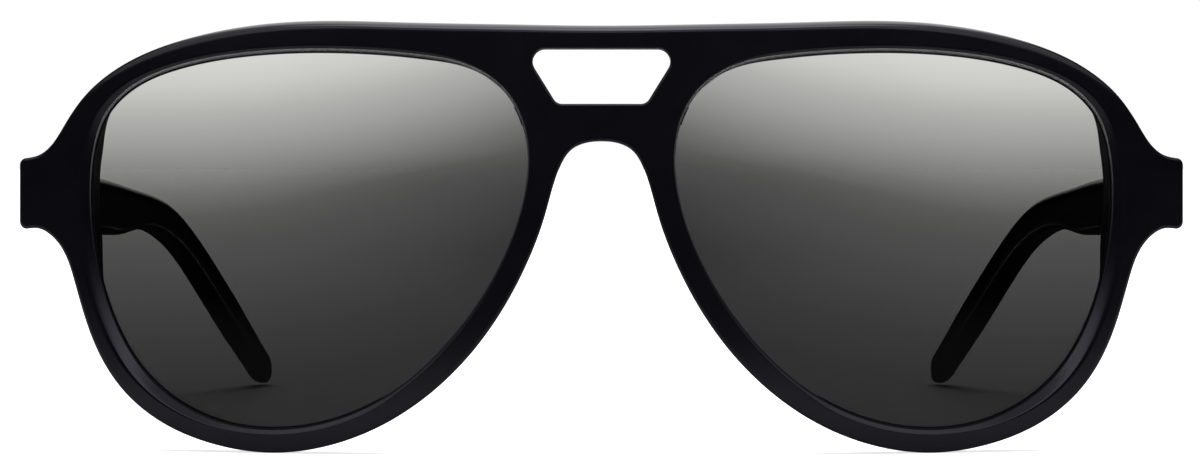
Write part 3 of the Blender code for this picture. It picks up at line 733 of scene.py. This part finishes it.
def seat_rings(shell, loop):
    """Rings from the front down the bevel, the steep lip and a ledge, round the groove, to the back."""
    bevel, lip, ledge = bevel_lip_and_ledge(loop)
    rings = [shell.ring_on(offset_loop(loop, bevel + GUARD), face_depth)]
    width = bevel - lip
    for share, polish in BEVEL_STEPS:
        ring = offset_loop(loop, lip + width * (1 - share))
        rolled = share - BEVEL_ROLL / 2 if share > BEVEL_ROLL else share**2 / (2 * BEVEL_ROLL)
        depths = face_depth(ring[:, 0], ring[:, 1]) + width * BEVEL_SLOPE * rolled
        rings.append(shell.ring(np.column_stack([ring[:, 0], depths, ring[:, 1]]), polish))
    foot_rise, brink_rise, flat_rise = LIP_AND_LEDGE_RISES
    rings.append(shell.ring_on(offset_loop(loop, lip * LIP_FOOT_SHARE), lens_depth, -foot_rise, 1.0))
    rings.append(shell.ring_on(offset_loop(loop, -LEDGE_BRINK), lens_depth, -brink_rise, 0.5))
    rings.append(shell.ring_on(offset_loop(loop, -ledge * LEDGE_FLAT_SHARE), lens_depth, -flat_rise))
    rings.append(shell.ring_on(offset_loop(loop, -ledge), lens_depth, -GROOVE_PLAY))
    groove = offset_loop(loop, GROOVE_DEPTH)
    back_lip = LENS_THICKNESS + GROOVE_PLAY
    rings.append(shell.ring_on(groove, lens_depth, -GROOVE_PLAY))
    rings.append(shell.ring_on(groove, lens_depth, back_lip))
    rings.append(shell.ring_on(loop, lens_depth, back_lip, UNPOLISHED))
    draft = -LUG_DRAFT * lug_share(loop[:, 0], loop[:, 1])
    for edge, drop, polish in OPENING_BACK_EDGE:
        rings.append(shell.ring_on(offset_loop(loop, draft + edge), back_depth, -drop, polish))
    rings.append(shell.ring_on(offset_loop(loop, draft + edge + GUARD), back_depth))
    shell.sleeve(rings)
    return rings[0], rings[-1]


def near_lug(x, z):
    """Where the back climbs to the lug and needs a finer mesh."""
    return (np.abs(x) > FINE_GRID_X) & (np.abs(z - (LUG_TOP + LUG_BOTTOM) / 2) < FINE_GRID_REACH)


def front():
    """Both rims, the brow, the two bridge bars and the lugs, in one piece."""
    shell = Shell()
    outline = front_outline()
    brow = smoothstep(outline[:, 1], *ROUNDING_BROW_HEIGHTS)
    width = ROUNDING_FRONT + (ROUNDING_BROW - ROUNDING_FRONT) * brow
    drop = ROUNDING_FRONT + (ROUNDING_BROW_DROP - ROUNDING_FRONT) * brow
    ends = [edge_rings(shell, outline, width, drop, ROUNDING_BACK)]
    for side in (1, -1):
        ends.append(seat_rings(shell, lens_loop(side)))
    window = rounded_polygon(WINDOW_CORNERS, WINDOW_ROUNDING, CORNER_STEPS, WINDOW_SIDE_STEPS)
    ends.append(edge_rings(shell, window, WINDOW_EDGE, WINDOW_EDGE, WINDOW_EDGE, outwards=1))
    shell.fill([first for first, _ in ends], face_depth)
    shell.fill([last for _, last in ends], back_depth, fine=near_lug)
    return shell.build("acetate_front")


def lens(side):
    """A domed lens whose V-shaped edge sits in the rim's groove."""
    shell = Shell()
    edge = offset_loop(lens_loop(), LENS_IN_GROOVE)
    visible = offset_loop(lens_loop(), -LENS_EDGE_SHOWS)
    middle = np.array(LENS_MIDDLE)
    domes = []
    for shift in (0.0, LENS_THICKNESS):
        rings = []
        for share in np.linspace(1, 0, LENS_RINGS, endpoint=False):
            rings.append(shell.ring_on(middle + (visible - middle) * share, lens_depth, shift))
        shell.sleeve(rings)
        tip = shell.ring_on(middle[None, :], lens_depth, shift)[0]
        for i, point in enumerate(rings[-1]):
            shell.faces.append((point, rings[-1][(i + 1) % len(visible)], tip))
        domes.append(rings[0])
    flats = (-LENS_EDGE_FLAT, LENS_EDGE_FLAT)
    apex = [shell.ring_on(edge, lens_depth, LENS_THICKNESS / 2 + flat) for flat in flats]
    shell.sleeve([domes[0], *apex, domes[1]])
    return shell.build("lens", side, SHARP_ON_LENS)


def nose_side(z):
    """The x of the front's outline beside the nose at a height."""
    flank = spline(RIM_AND_NOSE, SPAN_STEPS, mirror_end=True)
    flank = flank[(flank[:, 0] < NOSE_FLANK[0]) & (flank[:, 1] < NOSE_FLANK[1])]
    return float(np.interp(z, flank[:, 1], flank[:, 0]))


def nose_pad(side):
    """A soft-edged wedge behind the rim whose free edge leans away from the nose."""
    shell = Shell()
    low, high = PAD_HEIGHTS
    half = (high - low) / 2
    rings = []
    for turn in np.radians(np.linspace(-PAD_END_ANGLE, PAD_END_ANGLE, PAD_RINGS)):
        lean = sin(turn)
        z = (low + high) / 2 + half * lean
        swell = sqrt(1 - abs(lean) ** PAD_OUTLINE_POWER)
        reach = PAD_REACH * swell
        inner = nose_side(z) + PAD_INSET
        base = float(back_depth(inner, z)) - PAD_BOND
        section = []
        for step in range(PAD_SECTION_POINTS):
            angle = 2 * pi * step / PAD_SECTION_POINTS
            across = np.sign(cos(angle)) * abs(cos(angle)) ** PAD_SECTION_POWER
            along = (1 + np.sign(sin(angle)) * abs(sin(angle)) ** PAD_SECTION_POWER) / 2
            half_width = PAD_BASE / 2 * (1 - PAD_NARROWING * along)
            x = inner + PAD_BASE / 2 + across * half_width + PAD_SPLAY * swell * along**2
            section.append((x, base + reach * along, z))
        rings.append(shell.ring(section, polish=1 - swell * PAD_POLISH_LOSS))
    shell.sleeve(rings)
    shell.cap(rings[0])
    shell.cap(rings[-1])
    return shell.build("nose_pad", side, SHARP_ON_PAD)


def knuckle_span(knuckle):
    """Lowest and highest z of one of the five knuckles, counted from the bottom."""
    low = KNUCKLE_BOTTOM + KNUCKLE_PITCH * knuckle
    return low, low + KNUCKLE_HEIGHT


def knuckle_body(knuckle, side):
    """A short barrel with chamfered ends."""
    low, high = knuckle_span(knuckle)
    inner = KNUCKLE_RADIUS - KNUCKLE_CHAMFER
    profile = [
        (inner, low), (KNUCKLE_RADIUS, low + KNUCKLE_CHAMFER),
        (KNUCKLE_RADIUS, high - KNUCKLE_CHAMFER), (inner, high)]
    return turned(profile).build("knuckle", side)


def hinge_leaf(name, plate, web_ranges, knuckles, side):
    """A plate with its knuckles on webs, bored through for the screw."""
    piece = bevelled(plate.build(name, side), LEAF_EDGE)
    for knuckle in knuckles:
        low, high = knuckle_span(knuckle)
        web = block(*web_ranges, (low + WEB_PLAY, high - WEB_PLAY))
        combine(piece, bevelled(web.build("web", side), WEB_EDGE), "UNION")
        combine(piece, knuckle_body(knuckle, side), "UNION")
    bottom = knuckle_span(0)[0] - CUT_MARGIN
    top = knuckle_span(TOP_KNUCKLE)[1] + CUT_MARGIN
    bore = turned([(SCREW_HOLE_RADIUS, bottom), (SCREW_HOLE_RADIUS, top)]).build("bore", side)
    combine(piece, bore, "DIFFERENCE")
    return piece


def front_hinge_leaf(side):
    """A leaf sunk flush in the back of the lug, with three knuckles behind it."""
    face = LUG_BACK + LEAF_PROUD
    heights = (knuckle_span(0)[0], knuckle_span(TOP_KNUCKLE)[1])
    plate = block(FRONT_LEAF_X, (face - LEAF_THICKNESS, face), heights)
    web = ((AXIS_X - WEB_HALF_WIDTH, AXIS_X + WEB_HALF_WIDTH), (face - WEB_IN_LEAF, AXIS_DEPTH))
    return hinge_leaf("front_leaf", plate, web, FRONT_KNUCKLES, side)


def temple_hinge_leaf(side):
    """A leaf sunk in the inner side of the temple, with two knuckles towards the wearer."""
    face = TEMPLE_INNER - LEAF_PROUD
    plate = block((face, face + LEAF_THICKNESS), TEMPLE_LEAF_DEPTHS, TEMPLE_LEAF_HEIGHTS)
    web_depths = [AXIS_DEPTH + shift for shift in TEMPLE_WEB_DEPTHS]
    web = ((AXIS_X, face + WEB_IN_LEAF), web_depths)
    return hinge_leaf("temple_leaf", plate, web, TEMPLE_KNUCKLES, side)


def hinge_screw(side):
    """A screw with a low slotted head, passing down through all five knuckles."""
    low = knuckle_span(0)[0]
    under_head = knuckle_span(TOP_KNUCKLE)[1] + SCREW_HEAD_PLAY
    shank = [
        (SCREW_RADIUS - SCREW_TIP_CHAMFER, low - SCREW_TIP_CHAMFER), (SCREW_RADIUS, low),
        (SCREW_RADIUS, under_head)]
    head = [(SCREW_HEAD_RADIUS + inwards, under_head + up) for inwards, up in SCREW_HEAD]
    piece = turned(shank + head).build("screw", side)
    top = head[-1][1]
    slot = block(
        (AXIS_X - SCREW_SLOT_REACH, AXIS_X + SCREW_SLOT_REACH),
        (AXIS_DEPTH - SCREW_SLOT_WIDTH / 2, AXIS_DEPTH + SCREW_SLOT_WIDTH / 2),
        (top - SCREW_SLOT_DEPTH, top + CUT_MARGIN))
    combine(piece, slot.build("slot", side), "DIFFERENCE")
    return piece


def section_ring(middle, heading, height, thickness):
    """A rounded oblong square to the temple's heading in side view, almost round near the tip."""
    rounder = (TIP_ROUNDNESS - SECTION_ROUNDNESS) * smoothstep(middle[1], *TIP_ROUNDING_DEPTHS)
    corner = min(height, thickness) * (SECTION_ROUNDNESS + rounder)
    oblong = rounded_polygon(
        [(thickness / 2, height / 2), (-thickness / 2, height / 2),
         (-thickness / 2, -height / 2), (thickness / 2, -height / 2)],
        [corner] * 4, CORNER_STEPS, SECTION_SIDE_STEPS)
    slope = atan2(heading[2], heading[1])
    return [(middle[0] + across, middle[1] - up * sin(slope), max(middle[2] + up * cos(slope), 0.0))
            for across, up in oblong]


def temple(side):
    """A blade from the hinge to the tip, which drops behind the ear."""
    shell = Shell()
    stations = spline(TEMPLE_STATIONS, TEMPLE_STEPS)
    middles = stations[:, [1, 0, 2]]
    heading = np.gradient(middles, axis=0)
    heading[:TEMPLE_STEPS + 1] = (0, 1, 0)
    heading /= np.linalg.norm(heading, axis=1)[:, None]
    heights, thicknesses = stations[:, 3], stations[:, 4]
    rings = []
    for depth, smaller, polish in TEMPLE_BUTT:
        middle = middles[0] + (0, depth, 0)
        ring = section_ring(middle, heading[0], heights[0] - smaller, thicknesses[0] - smaller)
        rings.append(shell.ring(ring, polish))
    for middle, ahead, height, thickness in zip(
            middles[1:-1], heading[1:-1], heights[1:-1], thicknesses[1:-1]):
        rings.append(shell.ring(section_ring(middle, ahead, height, thickness), TEMPLE_POLISH))
    for angle in np.radians(TIP_ANGLES):
        middle = middles[-2] + heading[-1] * TIP_ROUNDING * sin(angle)
        shrink = sqrt(1 - sin(angle) ** TIP_POWER)
        middle = middle - (0, 0, TIP_DROOP * heights[-1] * (1 - shrink))
        ring = section_ring(middle, heading[-1], heights[-1] * shrink, thicknesses[-1] * shrink)
        rings.append(shell.ring(ring, TIP_POLISH))
    shell.sleeve(rings)
    shell.cap(rings[0])
    shell.cap(rings[-1])
    return shell.build("temple", side)


# Materials


class Tree:
    """Short calls for a node tree."""

    def __init__(self, tree):
        self.tree = tree

    def add(self, kind, **settings):
        """A new node with some of its settings."""
        node = self.tree.nodes.new(kind)
        for setting, value in settings.items():
            setattr(node, setting, value)
        return node

    def link(self, output, target):
        self.tree.links.new(output, target)

    def feed(self, sockets, values):
        """Link outputs and set plain numbers."""
        for socket, value in zip(sockets, values):
            if isinstance(value, (int, float)):
                socket.default_value = value
            else:
                self.link(value, socket)

    def math(self, operation, first, second=0.0, third=0.0, clamp=False):
        """The result of one step of arithmetic."""
        node = self.add("ShaderNodeMath", operation=operation, use_clamp=clamp)
        self.feed(node.inputs, (first, second, third))
        return node.outputs[0]

    def blend(self, factor, low, high):
        """Low where the factor is 0 and high where it is 1."""
        node = self.add("ShaderNodeMix")
        self.feed((node.inputs["Factor"], node.inputs["A"], node.inputs["B"]), (factor, low, high))
        return node.outputs["Result"]

    def spread(self, value, start, end, full):
        """A soft step from nothing at the start to the full value at the end."""
        node = self.add("ShaderNodeMapRange", interpolation_type="SMOOTHSTEP")
        names = ("Value", "From Min", "From Max", "To Min", "To Max")
        self.feed([node.inputs[name] for name in names], (value, start, end, 0.0, full))
        return node.outputs[0]


class Nodes(Tree):
    """Short calls for a material's node tree."""

    def __init__(self, name):
        self.material = bpy.data.materials.new(name)
        self.material.use_nodes = True
        super().__init__(self.material.node_tree)
        self.shader = self.tree.nodes["Principled BSDF"]

    def fixed(self, **values):
        """Set plain values on the shader."""
        for name, value in values.items():
            self.shader.inputs[name.replace("_", " ")].default_value = value

    def noise(self, scale, detail=3.0, stretch=(1, 1, 1)):
        """Noise in object space, with its features per metre set by scale."""
        place = self.add("ShaderNodeTexCoord").outputs["Object"]
        mapping = self.add("ShaderNodeMapping")
        mapping.inputs["Scale"].default_value = stretch
        self.link(place, mapping.inputs["Vector"])
        noise = self.add("ShaderNodeTexNoise")
        noise.inputs["Scale"].default_value = scale
        noise.inputs["Detail"].default_value = detail
        self.link(mapping.outputs[0], noise.inputs["Vector"])
        return noise.outputs["Fac"]

    def ramp(self, value, stops):
        """A colour ramp over (place, colour) stops."""
        node = self.add("ShaderNodeValToRGB")
        elements = node.color_ramp.elements
        while len(elements) < len(stops):
            elements.new(0.5)
        for element, (place, colour) in zip(elements, stops):
            element.position = place
            element.color = (*colour, 1.0)
        self.link(value, node.inputs[0])
        return node.outputs[0]

    def bump(self, height, strength, distance):
        """Small relief on the whole surface."""
        node = self.add("ShaderNodeBump")
        node.inputs["Strength"].default_value = strength
        node.inputs["Distance"].default_value = distance
        self.link(height, node.inputs["Height"])
        self.link(node.outputs[0], self.shader.inputs["Normal"])


def acetate_material(name, streak):
    """Deep blue-black acetate: satin on the faces, more polished where hands rub the edges."""
    nodes = Nodes(name)
    nodes.fixed(Specular_Tint=ACETATE_GLOSS_TINT)
    cloud = nodes.noise(CLOUD_SCALE, detail=4.0, stretch=streak)
    nodes.link(nodes.ramp(cloud, ACETATE_CLOUDS), nodes.shader.inputs["Base Color"])
    grain = nodes.noise(GRAIN_SCALE, detail=2.0)
    haze = nodes.noise(HAZE_SCALE)
    roughness = nodes.math("MULTIPLY_ADD", haze, HAZE_ROUGHNESS, ACETATE_ROUGHNESS)
    roughness = nodes.math("MULTIPLY_ADD", grain, GRAIN_ROUGHNESS, roughness)
    polish = nodes.add("ShaderNodeAttribute", attribute_name="polish").outputs["Fac"]
    roughness = nodes.math("MULTIPLY_ADD", polish, POLISH_ROUGHNESS, roughness, clamp=True)
    nodes.link(roughness, nodes.shader.inputs["Roughness"])
    scuffs = nodes.noise(SCUFF_SCALE, detail=2.0, stretch=SCUFF_STRETCH)
    height = nodes.math("MULTIPLY_ADD", scuffs, SCUFF_HEIGHT, grain)
    nodes.bump(height, *ACETATE_BUMP)
    return nodes.material


def lens_material(box):
    """Grey glass, clear at the brow and dark below, its shade drooping towards the nose."""
    low, high = box
    nodes = Nodes("graduated_lens")
    nodes.fixed(Roughness=0.0, IOR=1.5, Transmission_Weight=1.0, Specular_IOR_Level=0.1,
                Specular_Tint=LENS_GLOSS_TINT)
    place = nodes.add("ShaderNodeTexCoord").outputs["Object"]
    split = nodes.add("ShaderNodeSeparateXYZ")
    nodes.link(place, split.inputs[0])
    sideways = nodes.math("ABSOLUTE", split.outputs["X"])
    from_temple = nodes.math("MAXIMUM", nodes.math("SUBTRACT", DROOP_START_X, sideways), 0.0)
    below_brow = nodes.spread(split.outputs["Z"], *DROOP_UPPER, DROOP_GROWTH)
    above_dark = nodes.spread(split.outputs["Z"], *DROOP_LOWER, 1.0)
    bend = nodes.math("MULTIPLY_ADD", below_brow, above_dark, DROOP)
    droop = nodes.math("MULTIPLY", nodes.math("MULTIPLY", from_temple, from_temple), bend)
    height = nodes.math("SUBTRACT", split.outputs["Z"], droop)
    share = nodes.math("DIVIDE", nodes.math("SUBTRACT", height, low.z), high.z - low.z, clamp=True)
    # The grey shade is the lens's own; the blue that grows towards the bottom is a painted cool
    # reflection
    stops = [(level, (shade, shade, shade * (LENS_BLUE_BELOW - LENS_BLUE_LOSS * level)))
             for level, shade in LENS_TINT]
    nodes.link(nodes.ramp(share, stops), nodes.shader.inputs["Base Color"])
    return nodes.material


def steel_material(name, roughness, streak):
    """Drawn steel with fine streaks and a little tarnish."""
    nodes = Nodes(name)
    nodes.fixed(Metallic=1.0)
    streaks = nodes.noise(STREAK_SCALE, stretch=streak)
    tarnish = nodes.noise(TARNISH_SCALE, detail=4.0)
    nodes.link(nodes.ramp(tarnish, STEEL_TARNISH), nodes.shader.inputs["Base Color"])
    streaked = nodes.math("MULTIPLY_ADD", streaks, STREAK_ROUGHNESS, roughness)
    nodes.link(streaked, nodes.shader.inputs["Roughness"])
    nodes.bump(streaks, *STEEL_BUMP)
    return nodes.material


def finish(piece, material):
    """Give a piece one material."""
    piece.data.materials.clear()
    piece.data.materials.append(material)


# The set


def light_world():
    """White to the eye and through the lenses, a studio with a dark side in front to reflections."""
    world = bpy.data.worlds.new("studio")
    bpy.context.scene.world = world
    world.use_nodes = True
    nodes = Tree(world.node_tree)
    nodes.tree.nodes.clear()
    path = nodes.add("ShaderNodeLightPath").outputs
    split = nodes.add("ShaderNodeSeparateXYZ")
    nodes.link(nodes.add("ShaderNodeTexCoord").outputs["Generated"], split.inputs[0])
    back, up = split.outputs["Y"], split.outputs["Z"]
    sideways = nodes.math("ABSOLUTE", split.outputs["X"])

    rising = nodes.math("MULTIPLY_ADD", up, STUDIO_BACK_RISE, 1.0)
    straight_back = nodes.math(
        "MULTIPLY_ADD", sideways, STUDIO_BACK_NARROWING, nodes.math("MULTIPLY", back, rising))
    to_box = 0.0
    for part, share in zip((sideways, back, up), SOFTBOX_DIRECTION):
        to_box = nodes.math("MULTIPLY_ADD", part, share, to_box)
    streak = nodes.math(
        "MULTIPLY", nodes.spread(back, *STREAK_FRONT_SPREAD, STREAK),
        nodes.spread(back, *STREAK_BACK_SPREAD, 1.0))
    lights = [
        nodes.spread(back, *STUDIO_FRONT_SPREAD, STUDIO_FRONT),
        nodes.spread(up, *STUDIO_TOP_SPREAD, STUDIO_TOP),
        nodes.spread(up, *STUDIO_OVERHEAD_SPREAD, STUDIO_OVERHEAD),
        nodes.spread(straight_back, *STUDIO_BACK_SPREAD, STUDIO_BACK),
        nodes.spread(sideways, *STUDIO_SIDE_SPREAD, STUDIO_SIDE),
        nodes.spread(to_box, *SOFTBOX_SPREAD, SOFTBOX),
        nodes.math("MULTIPLY", streak, nodes.spread(up, *STREAK_HEIGHT_SPREAD, 1.0)),
    ]
    mirrored = lights[0]
    for light in lights[1:]:
        mirrored = nodes.math("ADD", light, mirrored)

    reflection = nodes.blend(path["Is Diffuse Ray"], mirrored, STUDIO_DIFFUSE)
    through = nodes.math(
        "MULTIPLY", path["Is Transmission Ray"], nodes.spread(back, *BACKDROP_SPREAD, 1.0))
    seen = nodes.math("MAXIMUM", path["Is Camera Ray"], through)
    background = nodes.add("ShaderNodeBackground")
    background.inputs["Color"].default_value = (1.0, 1.0, 1.0, 1.0)
    nodes.link(nodes.blend(seen, reflection, BACKDROP), background.inputs["Strength"])
    output = nodes.add("ShaderNodeOutputWorld")
    nodes.link(background.outputs[0], output.inputs[0])


def floor():
    """A table that is white to the eye and through the lenses, and to reflections painted dark with a
    painted grey apron and a painted light strip.
    """
    mesh = bpy.data.meshes.new("floor")
    corners = [(x * FLOOR_REACH, y * FLOOR_REACH, 0) for x, y in ((-1, -1), (1, -1), (1, 1), (-1, 1))]
    mesh.from_pydata(corners, [], [(0, 1, 2, 3)])
    piece = bpy.data.objects.new("floor", mesh)
    piece.location.z = cad_box[0].z - FLOOR_GAP
    bpy.context.collection.objects.link(piece)
    nodes = Nodes("white_table")
    nodes.fixed(Roughness=0.9, Specular_IOR_Level=0.0, Emission_Color=(1.0, 1.0, 1.0, 1.0))
    path = nodes.add("ShaderNodeLightPath").outputs
    split = nodes.add("ShaderNodeSeparateXYZ")
    nodes.link(nodes.add("ShaderNodeTexCoord").outputs["Object"], split.inputs[0])
    back = split.outputs["Y"]
    sideways = nodes.math("ABSOLUTE", split.outputs["X"])

    # Painted light and shade for reflections only: a near-black table, a grey apron in front and a light
    # strip behind the bridge
    before_strip = nodes.math("SUBTRACT", 1.0, nodes.spread(back, *FLOOR_STRIP, 1.0))
    apron = nodes.math("MULTIPLY", nodes.spread(back, *FLOOR_APRON, FLOOR_PAINTED_APRON), before_strip)
    strip = nodes.math(
        "MULTIPLY", nodes.spread(back, *FLOOR_STRIP, FLOOR_PAINTED_STRIP),
        nodes.spread(sideways, *FLOOR_STRIP_SIDES, 1.0))
    strip = nodes.math("MULTIPLY", strip, nodes.spread(back, *FLOOR_STRIP_END, 1.0))
    mirrored = nodes.math("ADD", apron, nodes.math("ADD", strip, FLOOR_PAINTED_SHADE))

    through = nodes.math(
        "MULTIPLY", path["Is Transmission Ray"], nodes.spread(back, *FLOOR_BEHIND_LENS, 1.0))
    seen = nodes.math("MAXIMUM", path["Is Camera Ray"], through)
    seen = nodes.math("MAXIMUM", seen, path["Is Diffuse Ray"])
    grey = nodes.blend(seen, mirrored, FLOOR_WHITE)
    shade = nodes.add("ShaderNodeCombineColor")
    for channel in shade.inputs:
        nodes.link(grey, channel)
    nodes.link(shade.outputs[0], nodes.shader.inputs["Base Color"])
    lift = nodes.math("MULTIPLY", path["Is Camera Ray"], FLOOR_LIFT)
    nodes.link(lift, nodes.shader.inputs["Emission Strength"])
    finish(piece, nodes.material)


def key_light():
    """A soft light from straight above, which shows in no reflection."""
    data = bpy.data.lights.new("key", "SUN")
    data.energy = KEY_STRENGTH
    data.angle = radians(KEY_ANGLE)
    lamp = bpy.data.objects.new("key", data)
    lamp.visible_glossy = False
    bpy.context.collection.objects.link(lamp)


def camera():
    """Level with the end pieces, in front of the bridge, aimed a little down."""
    front_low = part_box("front_frame")[0]
    data = bpy.data.cameras.new("camera")
    data.lens = CAMERA_LENS
    data.sensor_width = CAMERA_SENSOR
    data.clip_start = CAMERA_CLIP
    view = bpy.data.objects.new("camera", data)
    eye = Vector((CAMERA_SIDE, front_low.y - CAMERA_DISTANCE, CAMERA_HEIGHT))
    target = Vector((CAMERA_SIDE, front_low.y, CAMERA_AIM))
    view.location = eye
    view.rotation_euler = (target - eye).to_track_quat("-Z", "Y").to_euler()
    bpy.context.collection.objects.link(view)
    bpy.context.scene.camera = view


def main():
    """Dress the frame and light it."""
    view = bpy.context.scene.view_settings
    view.view_transform = "Standard"
    view.look = "None"
    acetate = acetate_material("front_acetate", streak=(1.0, 1.0, 1.0))
    temple_acetate = acetate_material("temple_acetate", streak=(1.0, 0.3, 1.0))
    glass = lens_material(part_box("left_lens"))
    hinge_steel = steel_material("hinge_steel", roughness=0.22, streak=(1.0, 1.0, 8.0))
    screw_steel = steel_material("screw_steel", roughness=0.14, streak=(8.0, 8.0, 1.0))
    wire_steel = steel_material("wire_steel", roughness=0.3, streak=(8.0, 1.0, 8.0))

    piece = front()
    finish(piece, acetate)
    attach(piece, "front")
    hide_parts("front_frame")

    fittings = [
        (lens, "lens", "front", glass, "graduated_lens"),
        (nose_pad, "nose_pad", "front", acetate, "pad_acetate"),
        (front_hinge_leaf, "front_hinge_leaf", "front", hinge_steel, "hinge_metal"),
        (hinge_screw, "hinge_screw", "front", screw_steel, "screw_steel"),
        (temple_hinge_leaf, "temple_hinge_leaf", "arm", hinge_steel, "hinge_metal"),
        (temple, "temple", "arm", temple_acetate, "temple_acetate"),
    ]
    for word, side in (("left", 1), ("right", -1)):
        for make, node, body, material, slot in fittings:
            piece = make(side)
            piece.name = f"{word}_{node}_finished"
            finish(piece, material)
            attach(piece, body if body == "front" else f"{word}_arm")
            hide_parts(f"{word}_{node}")
        finish(frame["nodes"][f"{word}_core_wire"], wire_steel)

    light_world()
    floor()
    key_light()
    camera()


main()
